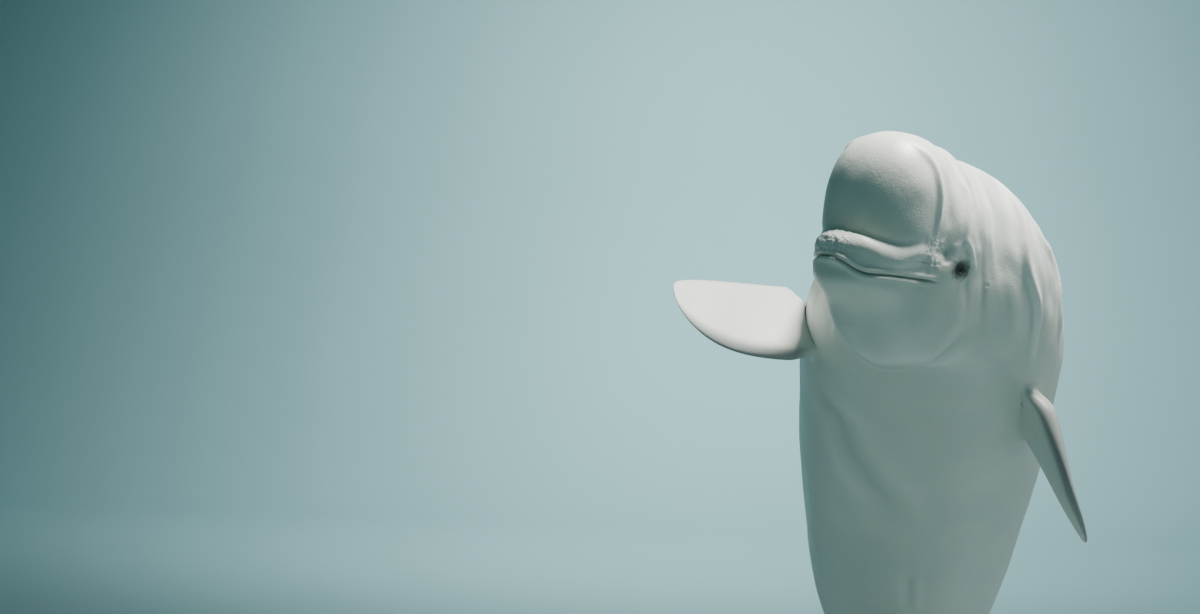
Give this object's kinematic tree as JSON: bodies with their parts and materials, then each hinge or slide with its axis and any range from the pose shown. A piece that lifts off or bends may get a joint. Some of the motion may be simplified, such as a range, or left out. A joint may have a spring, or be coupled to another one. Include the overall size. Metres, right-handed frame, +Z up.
{
  "type": "beluga whale model on a display stand",
  "caption": "Life-size still beluga whale rising with its belly forward, head turned and one flipper raised, held on two rods over a flat base.",
  "frame": {"origin": "middle of the underside of the stand's base board", "axes": "+Z up, +X towards the whale's left side, -Y the way the whale rises and shows its belly"},
  "size_m": [1.1398, 3.1491, 2.5952],
  "materials": {
    "whale_skin": "smooth ivory-white skin with faint grey creases, soft satin sheen",
    "eye": "dark brown, wet and glossy",
    "stand_board": "painted charcoal board with a bevelled edge, fine satin",
    "stand_metal": "brushed steel"
  },
  "bodies": {
    "root": {"head": "whale_skin", "melon": "whale_skin", "lower_jaw": "whale_skin", "neck": "whale_skin", "trunk_front": "whale_skin", "trunk_rear": "whale_skin", "dorsal_ridge": "whale_skin", "tail_stock": "whale_skin", "fluke_left": "whale_skin", "fluke_right": "whale_skin", "flipper_left": "whale_skin", "flipper_right": "whale_skin", "eye_left": "eye", "eye_right": "eye", "stand_base": "stand_board", "stand_foot_front": "stand_metal", "stand_foot_rear": "stand_metal", "stand_rod_front": "stand_metal", "stand_rod_rear": "stand_metal"}
  },
  "joints": []
}
